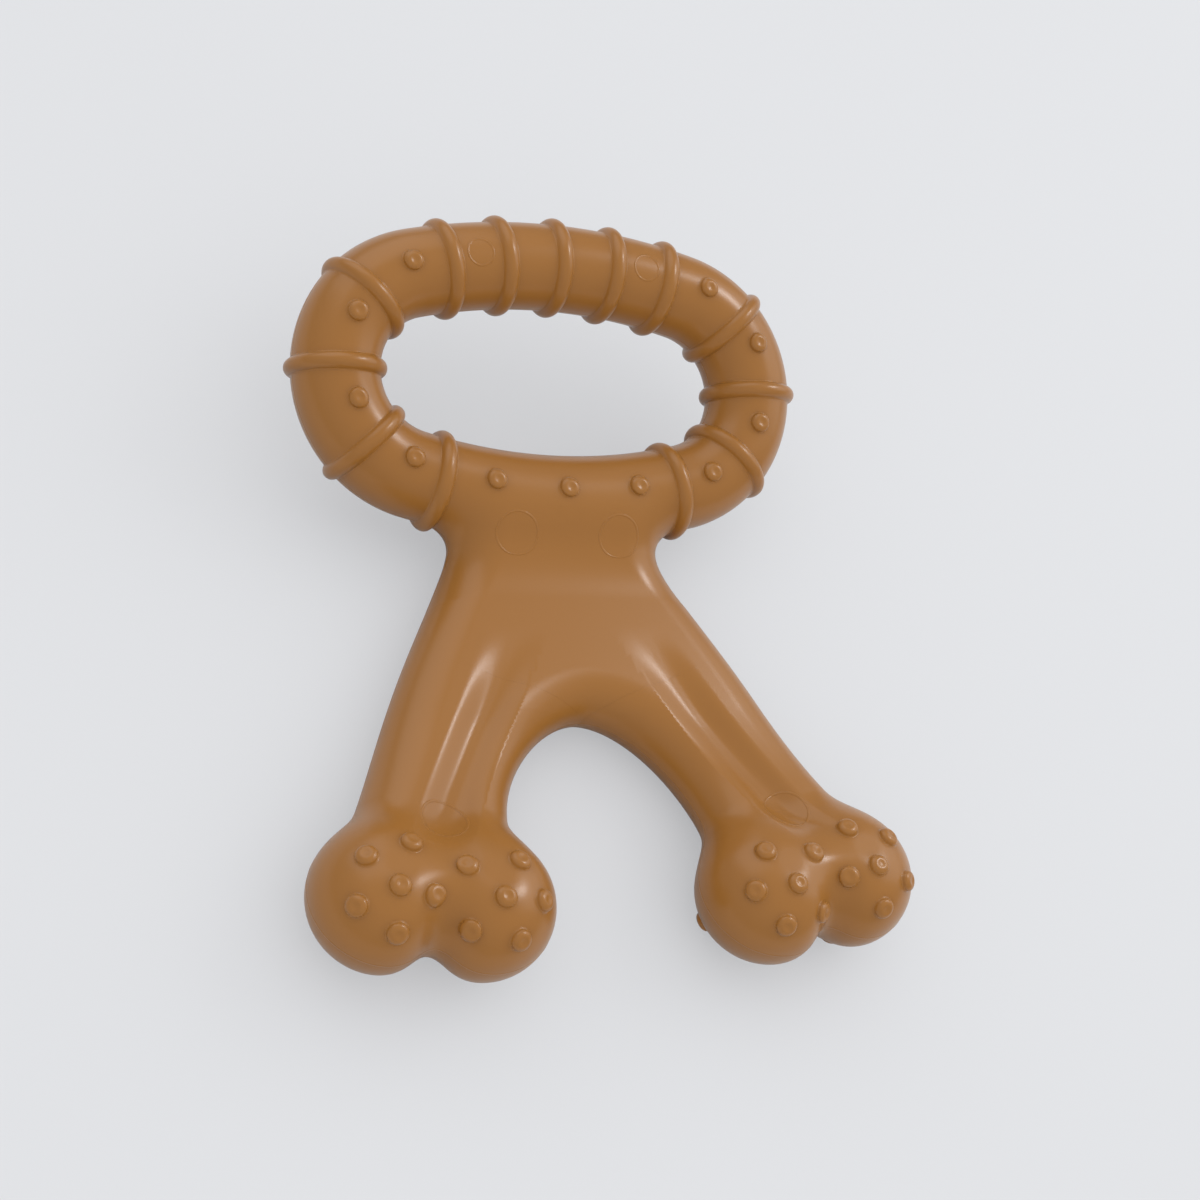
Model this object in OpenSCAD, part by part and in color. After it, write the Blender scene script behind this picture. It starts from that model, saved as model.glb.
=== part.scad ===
// Nylon chew toy: a ribbed oval ring on a bent yoke with two channelled legs,
// each ending in a knuckle of two round lobes. The real toy is one solid moulding,
// so its nodes are the moulding's features, which meet face to face.
//
// The moulding is laid out flat, as x across, s along and h up from its mid surface,
// with s = 0 at the middle of the ring's lower bar and s rising towards the ring's top.
// The flat layout is then bent about X, so that the toy lies on its back.

/* [Ring] */
// Half width of the ring's centre line
ring_half_w = 42; // [38:0.5:48]
// Half height of the ring's centre line
ring_half_h = 21.9; // [20:0.1:24]
// Radius of the ring's end bends along the centre line
ring_end_r = 19.1; // [16:0.1:19.4]
// Radius of the ring's round bar
bar_r = 8.1; // [7.5:0.1:9]

/* [Grip ribs] */
// Height of a rib over the bar
rib_h = 1.2; // [0.8:0.1:1.5]
// Radius of a rib's round bead
rib_bead_r = 1.6; // [1.5:0.1:2]
// Angle between the ribs on the top bar
top_rib_step = 5.5; // [4:0.1:6]
// Angle of the upper and lower ribs on each end bend
end_rib_angle = 43.5; // [35:0.5:50]
// Angle of the ribs on the lower bar, beside the yoke
yoke_rib_angle = 12; // [12:0.1:13.3]

/* [Nubs] */
// Radius of a nub's ball
nub_r = 2; // [1.6:0.1:2.4]
// Height of a nub over the surface
nub_h = 1.2; // [0.6:0.1:1.5]
// Angles of the two nubs from the middle of each end bend
end_nub_angles = [24, 68.5]; // [10:0.5:70]
// Angle between the nubs on the lower bar
lower_nub_step = 7.2; // [5:0.1:8]
// How far the ring's nubs sit from the bar's crest, towards the ring's top
ring_nub_lift = 1.2; // [0:0.1:1.5]

/* [Yoke and legs] */
// Half thickness of the yoke and legs
web_t = 7.3; // [6.5:0.1:7.6]
// Width of the rounded rim of the yoke and legs
rim_w = 8; // [5:0.5:9]
// Half width of the neck below the ring
neck_half_w = 20.2; // [18:0.1:22]
// Distance from the ring at which the flanks start to spread
flank_start = 11.8; // [10:0.1:16]
// How far a flank spreads for each millimetre down the toy
flank_slope = 0.505; // [0.44:0.005:0.52]
// How far a flank bulges out halfway down a leg
flank_bulge = 0.9; // [0:0.1:1.5]
// Half width of the arch between the legs
arch_half_w = 19.2; // [17:0.1:19.5]
// Height of the arch between the legs
arch_h = 23.5; // [20:0.1:25]
// Distance of the arch's springing line from the ring
arch_foot = 67.9; // [66:0.1:69]
// Roundness of the arch: 2 is an ellipse, and less is more pointed
arch_round = 1.75; // [1.7:0.05:2]
// Depth of the channel along each leg
channel_depth = 1.7; // [0.5:0.1:2.5]
// Half width of the channel's floor
channel_floor = 0.6; // [0.4:0.1:3]
// Half width of the channel at its lips
channel_lip = 6; // [4.5:0.1:6]

/* [Knuckles] */
// Radius of a lobe, seen from the front
lobe_r = 13; // [12.3:0.1:13.5]
// Half thickness of a lobe
lobe_t = 10.9; // [10.6:0.1:12]
// Outer lobe's centre, across and down from the ring
outer_lobe_at = [43.5, -77.8]; // [-90:0.1:50]
// Inner lobe's centre, across and down from the ring
inner_lobe_at = [27.2, -80.2]; // [-90:0.1:50]

/* [Bend] */
// Slope of the ring over the floor
ring_rise = 23.5; // [16:0.5:25]
// Radius of the bend in the neck, at the mid surface
neck_bend_r = 28; // [24:1:32]
// Distance from the ring at which the neck's bend ends
neck_bend_start = 11; // [8:0.1:12]
// Radius of the bend in the legs, at the mid surface
leg_bend_r = 90; // [70:5:95]
// Distance from the ring at which the legs start to rise
leg_bend_start = 44.5; // [42:0.5:48]

/* [Hidden] */
$fn = 64;
nylon = [0.65, 0.46, 0.28];

// Oval ring: two long arcs and two end bends, tangent to each other
end_x = ring_half_w - ring_end_r;
arc_r = (pow(ring_half_w, 2) + pow(ring_half_h, 2) - 2 * ring_half_w * ring_end_r)
        / (2 * (ring_half_h - ring_end_r));
arc_half = asin(end_x / (arc_r - ring_end_r));

// Nub places on a lobe's front, across (outwards) and along (to the ring) from its centre
outer_nub_at = [[5.4, 1.7], [-2.5, 3.7], [1, -4.2], [-5, -5.6], [7.8, -5.9], [1.6, -10.6]];
inner_nub_at = [[5.1, 1.4], [-4.2, 2], [-0.1, -4.7], [-7.5, -4.6], [5.9, -8.7], [-2.6, -10.5]];

// On its back they are nearer to the toy's middle and to the ring, an inner lobe's lowest ones the most
back_nub_shift = [-1.2, 4.4];
low_nub_y = -8;
low_nub_lift = [0, 2.2];
outer_back_nub_at = [for (p = outer_nub_at) p + back_nub_shift];
inner_back_nub_at = [for (p = inner_nub_at) p + back_nub_shift + (p.y < low_nub_y ? low_nub_lift : [0, 0])];
lobe_flat = lobe_r - lobe_t;

// Yoke and leg grids: rows along them and steps across half a section
yoke_rows = 16;
leg_rows = 18;
steps = 14;
yoke_top = -1.5;
leg_top = -33;
leg_end = -73.2;
arch_end_angle = -15;
rim_land = 0.35;
flank_soft = 3;
bulge_s = -36;
bulge_reach = 26;
arch_apex = arch_h - arch_foot;
channel_x = 21;
channel_s = -45.7;
channel_slope = 0.52;
channel_fade = [-28, -49];

// The toy lies on the back of its yoke, which is flat from rest_s to the start of the legs' bend
rest_s = -neck_bend_start - neck_bend_r * ring_rise * PI / 180;
lobe_run = -leg_bend_start - outer_lobe_at.y;
first_guess = 10;
rounds = 30;
leg_rise = lobe_touch_rise(first_guess, rounds);
y_top = bent(0, 2 * ring_half_h, 0).y + bar_r + rib_h;
y_end = bent(0, inner_lobe_at.y, 0).y - lobe_flat * cos(leg_rise) - lobe_t;
mid_y = (y_top + y_end) / 2;

// How far the lowest nub of an outer lobe hangs below the lobe's centre
function nub_drop(p, a) = let (c = lobe_normal(p) * (nub_h - nub_r)) -(p.y + c.y) * sin(a)
    - (lobe_height(p) + c.z) * cos(a) - nub_r;
function lobe_reach(a) = -min([for (p = outer_back_nub_at) nub_drop(p, a)]);

// Slope of the legs at which the lobes touch the floor that the yoke lies on
function lobe_climb(a) = lobe_reach(a) - web_t - leg_bend_r * (1 - cos(a));
function next_rise(a) = asin(lobe_climb(a) / (lobe_run - leg_bend_r * a * PI / 180));
function lobe_touch_rise(a, n) = n == 0 ? a : lobe_touch_rise((a + next_rise(a)) / 2, n - 1);

// A lobe's surface over a plan place: its height, and its outward normal
function over_flat(p) = max(norm(p) - lobe_flat, 0);
function lobe_height(p) = sqrt(pow(lobe_t, 2) - pow(over_flat(p), 2));
function lobe_normal(p) = let (side = over_flat(p) / lobe_t / max(norm(p), 0.001))
    [p.x * side, p.y * side, lobe_height(p) / lobe_t];

// Distance covered, height gained and slope reached after a length d of a bend of radius r,
// which runs on straight once its slope has reached its limit
function rise(r, limit, d) = let (a = min(limit, d / r * 180 / PI), run = d - r * a * PI / 180)
    [r * sin(a) + run * cos(a), r * (1 - cos(a)) + run * sin(a), a];

// Place of a flat point once the neck and the legs are bent up from the flat back
function bent(x, s, h) = let (up = rise(neck_bend_r, ring_rise, max(0, s - rest_s)),
    down = rise(leg_bend_r, leg_rise, max(0, -leg_bend_start - s)), a = up[2] - down[2],
    y = max(-leg_bend_start, min(rest_s, s)) + up[0] - down[0])
    [x, y - h * sin(a), web_t + up[1] + down[1] + h * cos(a)];
function row(p) = bent(p.x, p.y, p.z) - [0, mid_y, 0];

// Yoke and leg outline: half width at s, and rim distances from the flank and the arch
function half_w(s) = let (u = -s - flank_start)
    neck_half_w + flank_slope * (u + sqrt(u * u + flank_soft * flank_soft)) / 2
    + flank_bulge * smooth(1 - abs(s - bulge_s) / bulge_reach);
function flank_gap(x, s) = (half_w(s) - abs(x)) / sqrt(1 + flank_slope * flank_slope);
function arch_gap(x, s) = let (u = abs(x) / arch_half_w, v = abs(s + arch_foot) / arch_h,
    q = pow(pow(u, arch_round) + pow(v, arch_round), 1 / arch_round),
    g = norm([pow(u, arch_round - 1) / arch_half_w, pow(v, arch_round - 1) / arch_h]))
    (q - 1) * pow(q, arch_round - 1) / max(g, 0.001);
function smooth(t) = let (u = max(0, min(1, t))) u * u * (3 - 2 * u);
function channel(x, s) = let (d = abs(abs(x) - channel_x - channel_slope * (channel_s - s)))
    channel_depth * smooth((channel_lip - d) / (channel_lip - channel_floor))
    * smooth((channel_fade[0] - s) / (channel_fade[0] - channel_fade[1]));

// Half thickness at a flat place: a rounded rim, less the channel
function rim(gap) = pow(max(0, 1 - gap / rim_w), 2);
function half_t(x, s) = max(rim_land, (web_t - channel(x, s))
    * sqrt(max(0, 1 - rim(flank_gap(x, s)) - rim(arch_gap(x, s)))));

// Flat places on the fan of sections: yoke sections run from the mid plane to the flank,
// and leg sections run from the arch to the flank
function across(j) = (1 - cos(180 * j / steps)) / 2;
function yoke_at(i, u) = let (t = i / yoke_rows,
    s_mid = yoke_top + (arch_apex - yoke_top) * sin(90 * t),
    s_flank = yoke_top + (leg_top - yoke_top) * t)
    [u * half_w(s_flank), s_mid + (s_flank - s_mid) * abs(u)];
function squeeze(c) = sign(c) * pow(abs(c), 2 / arch_round);
function arch_at(a) = [arch_half_w * squeeze(cos(a)), arch_h * squeeze(sin(a)) - arch_foot];
function leg_at(i, u) = let (t = i / leg_rows, s_flank = leg_top + (leg_end - leg_top) * t,
    inner = arch_at(90 + (arch_end_angle - 90) * t)) inner + ([half_w(s_flank), s_flank] - inner) * u;

// One closed section: front points in order, then back points in reverse
function skin_at(p, face) = row([p.x, p.y, face * half_t(p.x, p.y)]);
function section(places) = concat(
    [for (p = places) skin_at(p, 1)],
    [for (j = [len(places) - 1 : -1 : 0]) skin_at(places[j], -1)]);

// A solid through a list of closed sections, each with front and back points
module loft(sections) {
    k = len(sections[0]);
    last = len(sections) - 1;
    sides = [for (i = [0 : last - 1], j = [0 : k - 1]) let (n = (j + 1) % k)
        each [[i * k + j, i * k + n, (i + 1) * k + n], [i * k + j, (i + 1) * k + n, (i + 1) * k + j]]];
    first_cap = [for (j = [0 : k / 2 - 2])
        each [[j, k - 2 - j, j + 1], [j, k - 1 - j, k - 2 - j]]];
    last_cap = [for (f = first_cap) [f[0] + last * k, f[2] + last * k, f[1] + last * k]];
    polyhedron([for (s = sections) each s], concat(sides, first_cap, last_cap), convexity = 6);
}

// The ring's own frame, flat in its plane with the lower bar's middle at the origin
module in_ring() {
    translate(row([0, 0, 0])) rotate([ring_rise, 0, 0]) children();
}

module long_arc() {
    translate([0, 2 * ring_half_h - arc_r, 0])
        rotate([0, 0, 90 - arc_half])
            rotate_extrude(angle = 2 * arc_half) translate([arc_r, 0]) circle(bar_r);
}

module lower_arc() {
    translate([0, 2 * ring_half_h, 0]) rotate([0, 0, 180]) long_arc();
}

module end_bend() {
    translate([end_x, ring_half_h, 0])
        rotate([0, 0, arc_half - 90])
            rotate_extrude(angle = 180 - 2 * arc_half) translate([ring_end_r, 0]) circle(bar_r);
}

// Puts children on the ring's centre line, with their own X along it
module on_long_arc(a) {
    translate([arc_r * sin(a), 2 * ring_half_h - arc_r + arc_r * cos(a), 0])
        rotate([0, 0, -a]) children();
}

module on_lower_arc(a) {
    translate([0, 2 * ring_half_h, 0]) rotate([0, 0, 180]) on_long_arc(-a) children();
}

module on_end_bend(a) {
    translate([end_x + ring_end_r * cos(a), ring_half_h + ring_end_r * sin(a), 0])
        rotate([0, 0, a + 90]) children();
}

module bead() {
    rotate([0, 90, 0]) rotate_extrude() translate([bar_r + rib_h - rib_bead_r, 0]) circle(rib_bead_r);
}

module ring_top_bar() color(nylon) in_ring() long_arc();

module ring_lower_bar() color(nylon) in_ring() lower_arc();

module ring_right_bend() color(nylon) in_ring() end_bend();

module ring_left_bend() mirror([1, 0, 0]) ring_right_bend();

// Ribs on the top bar, counted from the left
module top_rib(i) color(nylon) in_ring() difference() {
    on_long_arc((i - 3) * top_rib_step) bead();
    long_arc();
}

// Ribs on the right side, counted from the top: three on the bend, one on the lower bar
module right_rib(i) color(nylon) in_ring() difference() {
    if (i < 4) on_end_bend((2 - i) * end_rib_angle) bead();
    else on_lower_arc(yoke_rib_angle) bead();
    if (i < 4) end_bend();
    else lower_arc();
}

module left_rib(i) mirror([1, 0, 0]) right_rib(i);

// Nubs on one face of the ring, rooted in the bar
module ring_nubs(face) color(nylon) in_ring() {
    up = [0, 0, face * (bar_r + nub_h - nub_r)];
    lift = [0, ring_nub_lift, 0];
    for (side = [0, 1], way = [-1, 1], a = end_nub_angles) mirror([side, 0, 0]) difference() {
        translate(lift) on_end_bend(way * a) translate(up) sphere(nub_r);
        end_bend();
    }
    for (i = [-1 : 1]) difference() {
        translate(lift) on_lower_arc(i * lower_nub_step) translate(up) sphere(nub_r);
        lower_arc();
    }
}

module ring_front_nubs() ring_nubs(1);

module ring_back_nubs() ring_nubs(-1);

module yoke() color(nylon) difference() {
    loft([for (i = [0 : yoke_rows]) section(
        [for (j = [-steps : steps]) yoke_at(i, sign(j) * across(abs(j)))])]);
    in_ring() lower_arc();
}

// A lobe: a round disc with a full round rim, tilted with the legs and turned about its own axis
module lobe_solid(at, turn = 0) {
    translate(row([at.x, at.y, 0])) rotate([-leg_rise, 0, 0]) rotate([0, 0, turn]) rotate_extrude() {
        translate([lobe_flat, 0]) intersection() {
            circle(lobe_t);
            translate([0, -lobe_t]) square([lobe_t, 2 * lobe_t]);
        }
        translate([0, -lobe_t]) square([lobe_flat, 2 * lobe_t]);
    }
}

// Block on one side, inner or outer, of the plane midway between a knuckle's two lobes
module half_space(outer) {
    gap = outer_lobe_at - inner_lobe_at;
    mid = (outer_lobe_at + inner_lobe_at) / 2;
    translate(row([mid.x, mid.y, 0]))
        rotate([-leg_rise, 0, 0])
            rotate([0, 0, atan2(gap.y, gap.x)])
                translate([outer ? 0 : -6 * lobe_r, -3 * lobe_r, -3 * lobe_r]) cube(6 * lobe_r);
}

module right_leg() color(nylon) difference() {
    loft([for (i = [0 : leg_rows]) section([for (j = [0 : steps]) leg_at(i, across(j))])]);
    lobe_solid(outer_lobe_at);
    lobe_solid(inner_lobe_at);
}

module left_leg() mirror([1, 0, 0]) right_leg();

module right_outer_lobe() color(nylon) difference() {
    lobe_solid(outer_lobe_at, 180);
    half_space(false);
}

module left_outer_lobe() mirror([1, 0, 0]) right_outer_lobe();

module right_inner_lobe() color(nylon) difference() {
    lobe_solid(inner_lobe_at);
    half_space(true);
}

module left_inner_lobe() mirror([1, 0, 0]) right_inner_lobe();

// Nubs on the front and back of one lobe, rooted in it
module lobe_nubs(at, front, back) color(nylon) difference() {
    translate(row([at.x, at.y, 0])) rotate([-leg_rise, 0, 0]) {
        for (p = front) nub_ball(p);
        for (p = back) mirror([0, 0, 1]) nub_ball(p);
    }
    lobe_solid(at);
}

module nub_ball(p) {
    translate([p.x, p.y, lobe_height(p)] + lobe_normal(p) * (nub_h - nub_r)) sphere(nub_r);
}

module right_outer_nubs() lobe_nubs(outer_lobe_at, outer_nub_at, outer_back_nub_at);

module right_inner_nubs() lobe_nubs(inner_lobe_at, inner_nub_at, inner_back_nub_at);

module left_outer_nubs() mirror([1, 0, 0]) right_outer_nubs();

module left_inner_nubs() mirror([1, 0, 0]) right_inner_nubs();

ring_top_bar();
ring_lower_bar();
ring_left_bend();
ring_right_bend();
for (i = [1 : 5]) top_rib(i);
for (i = [1 : 4]) left_rib(i);
for (i = [1 : 4]) right_rib(i);
ring_front_nubs();
ring_back_nubs();
yoke();
left_leg();
right_leg();
left_outer_lobe();
left_inner_lobe();
right_inner_lobe();
right_outer_lobe();
left_outer_nubs();
left_inner_nubs();
right_inner_nubs();
right_outer_nubs();
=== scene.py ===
"""Nylon chew toy: the looks of its moulded skin, ribs, nubs and mould marks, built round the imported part."""

import math

import bpy
import numpy as np
from bpy.props import FloatProperty, FloatVectorProperty, PointerProperty
from mathutils import Matrix


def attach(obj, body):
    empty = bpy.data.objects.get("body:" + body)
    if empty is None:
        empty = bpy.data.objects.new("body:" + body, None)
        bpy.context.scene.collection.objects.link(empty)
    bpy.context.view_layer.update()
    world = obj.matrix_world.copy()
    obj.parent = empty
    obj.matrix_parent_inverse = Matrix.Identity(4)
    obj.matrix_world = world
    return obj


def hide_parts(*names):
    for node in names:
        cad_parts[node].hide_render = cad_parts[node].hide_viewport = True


bl_info = {
    "name": "Nylon Chew Toy",
    "version": (1, 0, 0),
    "blender": (4, 5, 0),
    "location": "View3D > Sidebar > Chew Toy",
    "description": "Builds the skin, ribs, nubs and mould marks of a nylon chew toy, and its stage",
    "category": "Object",
}

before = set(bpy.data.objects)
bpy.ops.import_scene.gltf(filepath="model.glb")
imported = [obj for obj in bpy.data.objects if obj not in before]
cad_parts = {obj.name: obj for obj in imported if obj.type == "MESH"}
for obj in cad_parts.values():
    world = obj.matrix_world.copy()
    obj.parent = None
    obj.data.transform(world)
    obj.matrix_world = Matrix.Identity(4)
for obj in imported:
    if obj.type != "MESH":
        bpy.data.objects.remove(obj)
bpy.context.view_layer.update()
BODY = "root"
FINISH = "satin_nylon"
MM = 0.001
SIDES = {"right": 1, "left": -1}


def length(name, text, mm):
    """A size that the user can change, given here in millimetres."""
    return FloatProperty(name=name, description=text, default=mm * MM, unit="LENGTH", precision=4)


def angle(name, text, degrees):
    """An angle that the user can change, given here in degrees."""
    return FloatProperty(name=name, description=text, default=math.radians(degrees), subtype="ANGLE")


def number(name, text, value):
    """A plain number that the user can change."""
    return FloatProperty(name=name, description=text, default=value)


def place(name, text, *mm):
    """A place in the flat layout that the user can change, given here in millimetres."""
    values = [value * MM for value in mm]
    return FloatVectorProperty(name=name, description=text, default=values, size=len(mm), unit="LENGTH")


def colour(name, text, *rgb):
    """A colour that the user can change, as linear red, green and blue."""
    return FloatVectorProperty(
        name=name, description=text, default=rgb, size=3, subtype="COLOR", min=0.0, max=1.0
    )


class ChewToyRing(bpy.types.PropertyGroup):
    """Sizes of the grip ring, its ribs and its nubs."""

    half_w: length("Half width", "Half width of the ring's centre line", 42)
    half_h: length("Half height", "Half height of the ring's centre line", 21.9)
    end_r: length("End radius", "Radius of the end bends along the centre line", 19.1)
    bar_r: length("Bar radius", "Radius of the ring's round bar", 8.1)
    rib_h: length("Rib height", "Height of a rib over the bar", 1.2)
    rib_r: length("Rib radius", "Radius of a rib's round bead", 1.6)
    rib_toe: length("Rib toe", "Radius of the fillet at a rib's foot", 0.3)
    top_rib_step: angle("Top rib step", "Angle between the ribs on the top bar", 5.5)
    end_rib_angle: angle("End rib angle", "Angle of the outer ribs on an end bend", 43.5)
    yoke_rib_angle: angle("Yoke rib angle", "Angle of the ribs beside the yoke", 12)
    near_nub_angle: angle("Near nub angle", "Angle of the inner nubs on an end bend", 24)
    far_nub_angle: angle("Far nub angle", "Angle of the outer nubs on an end bend", 68.5)
    lower_nub_step: angle("Lower nub step", "Angle between the nubs on the lower bar", 7.2)
    nub_lift: length("Nub lift", "How far the ring's nubs sit from the bar's crest towards its top", 1.2)


class ChewToyYoke(bpy.types.PropertyGroup):
    """Sizes of the yoke and the legs in the flat layout."""

    web_t: length("Half thickness", "Half thickness of the yoke and legs", 7.3)
    rim_w: length("Rim width", "Width of the rounded rim", 8)
    neck_half_w: length("Neck half width", "Half width of the neck below the ring", 20.2)
    flank_start: length("Flank start", "Distance from the ring at which the flanks spread", 11.8)
    flank_slope: number("Flank slope", "Spread for each length down", 0.505)
    flank_bulge: length("Flank bulge", "How far a flank bulges out halfway down a leg", 0.9)
    arch_half_w: length("Arch half width", "Half width of the arch between the legs", 19.2)
    arch_h: length("Arch height", "Height of the arch between the legs", 23.5)
    arch_foot: length("Arch foot", "Distance of the arch's springing line from the ring", 67.9)
    arch_round: number("Arch roundness", "2 is an ellipse, less is pointed", 1.75)
    channel_depth: length("Channel depth", "Depth of the channel along each leg", 1.7)
    channel_floor: length("Channel floor", "Half width of the channel's floor", 0.6)
    channel_lip: length("Channel lip", "Half width of the channel at its lips", 6.0)
    ring_fillet: length("Ring fillet", "Reach of the blend between ring and yoke", 5)


class ChewToyKnuckles(bpy.types.PropertyGroup):
    """Sizes of the lobes at the ends of the legs."""

    lobe_r: length("Lobe radius", "Radius of a lobe, seen from the front", 13)
    lobe_t: length("Lobe half thickness", "Half thickness of a lobe", 10.9)
    outer_at: place("Outer lobe", "Centre of the outer lobe, across and along", 43.5, -77.8)
    inner_at: place("Inner lobe", "Centre of the inner lobe, across and along", 27.2, -80.2)
    leg_fillet: length("Leg fillet", "Reach of the blend between a leg and its lobes", 4)
    saddle: length("Saddle", "Reach of the blend between the two lobes on the front and back", 5)
    cleft: length("Cleft", "Depth of the groove between the two lobes at their ends", 1.8)
    nub_r: length("Nub radius", "Radius of a nub's wall", 1.85)
    nub_h: length("Nub height", "Height of a nub over the skin", 1.2)
    nub_toe: length("Nub toe", "Radius of the fillet at a nub's foot", 0.28)


class ChewToyBend(bpy.types.PropertyGroup):
    """How the flat layout is bent so that the toy lies on its back."""

    ring_rise: angle("Ring rise", "Slope of the ring over the floor", 23.5)
    neck_r: length("Neck bend radius", "Radius of the bend in the neck", 28)
    neck_start: length("Neck bend start", "Distance from the ring at which the neck's bend ends", 11)
    leg_r: length("Leg bend radius", "Radius of the bend in the legs", 90)
    leg_start: length("Leg bend start", "Distance from the ring at which the legs start to rise", 44.5)


class ChewToyFinish(bpy.types.PropertyGroup):
    """Colour and surface of the nylon."""

    base: colour("Colour", "Colour of the nylon", 0.336, 0.142, 0.029)
    deep: colour("Deep colour", "Colour of the slightly darker cloudy patches", 0.314, 0.13, 0.025)
    roughness: number("Roughness", "Roughness of the skin", 0.29)
    grain: number("Grain", "Strength of the fine moulded grain", 0.12)


class ChewToyStage(bpy.types.PropertyGroup):
    """Floor, light and camera."""

    floor: colour("Floor", "Colour of the floor", 0.705, 0.715, 0.737)
    lens: number("Lens", "Focal length of the camera, in millimetres", 62.2)


class ChewToySettings(bpy.types.PropertyGroup):
    """Everything that the operators read."""

    ring: PointerProperty(type=ChewToyRing)
    yoke: PointerProperty(type=ChewToyYoke)
    knuckles: PointerProperty(type=ChewToyKnuckles)
    bend: PointerProperty(type=ChewToyBend)
    finish: PointerProperty(type=ChewToyFinish)
    stage: PointerProperty(type=ChewToyStage)


# Forms of the flat layout that follow from the sizes above, in millimetres
FLANK_SOFT = 3.0
BULGE_AT = -36.0
BULGE_REACH = 26.0
CHANNEL_AT = (21.0, -45.7)
CHANNEL_SLOPE = 0.52
CHANNEL_FADE = (-28.0, -49.0)
SLAB_TOP = 2.0
SLAB_END = -79.0
LEG_TOP = -33.0
LEG_END = -74.5
ARCH_END_ANGLE = math.radians(-15)
# Room that a lobe leaves inside the part's outline for the parting line and the flat-topped nubs
LOBE_ROOM = 0.12
# Groove between two lobes: its start, the run to its depth, how much less they blend there, and its width
GROOVE_TOP = -79.0
GROOVE_REACH = 10.0
GROOVE_TIGHTER = 1.0
CLEFT_W = 4.5
# Nubs on a lobe's front, across and along from its centre, and how they shift on its back
OUTER_NUBS = np.array([(5.4, 1.7), (-2.5, 3.7), (1, -4.2), (-5, -5.6), (7.8, -5.9), (1.6, -10.6)])
INNER_NUBS = np.array([(5.1, 1.4), (-4.2, 2), (-0.1, -4.7), (-7.5, -4.6), (5.9, -8.7), (-2.6, -10.5)])
BACK_NUB_SHIFT = (-1.2, 4.4)
LOW_NUB_S = -8.0
LOW_NUB_LIFT = (0, 2.2)
OUTER_BACK_NUBS = OUTER_NUBS + BACK_NUB_SHIFT
INNER_BACK_NUBS = INNER_NUBS + BACK_NUB_SHIFT + np.outer(INNER_NUBS[:, 1] < LOW_NUB_S, LOW_NUB_LIFT)
# Nub that touches the floor: radius of its ball and height. Then the legs' first slope, and rounds to fit it
FLOOR_NUB_R = 2.0
FLOOR_NUB_H = 1.2
FIRST_RISE = math.radians(10)
RISE_ROUNDS = 30
# Half the step over which the skin's gradient is taken
GRADIENT_STEP = 0.02
# Values next to nothing, which also keep divisions finite
SMALL = 0.001
TINY = 1e-6


def ramp(t):
    """A smooth step: 3u^2 - 2u^3 with u held between 0 and 1."""
    u = np.clip(t, 0, 1)
    return u * u * (3 - 2 * u)


def full_turn(count):
    """Angles evenly round a circle."""
    return np.linspace(0, 2 * math.pi, count, endpoint=False)


def circle(turn):
    """Cosine and sine of each angle."""
    return np.stack([np.cos(turn), np.sin(turn)], -1)


def soft_min(a, b, k):
    """The smaller of two distances, rounded where they differ by less than k: min - (k - |a - b|)^2 / 4k."""
    return np.minimum(a, b) - np.maximum(k - np.abs(a - b), 0) ** 2 / (4 * k)


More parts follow.
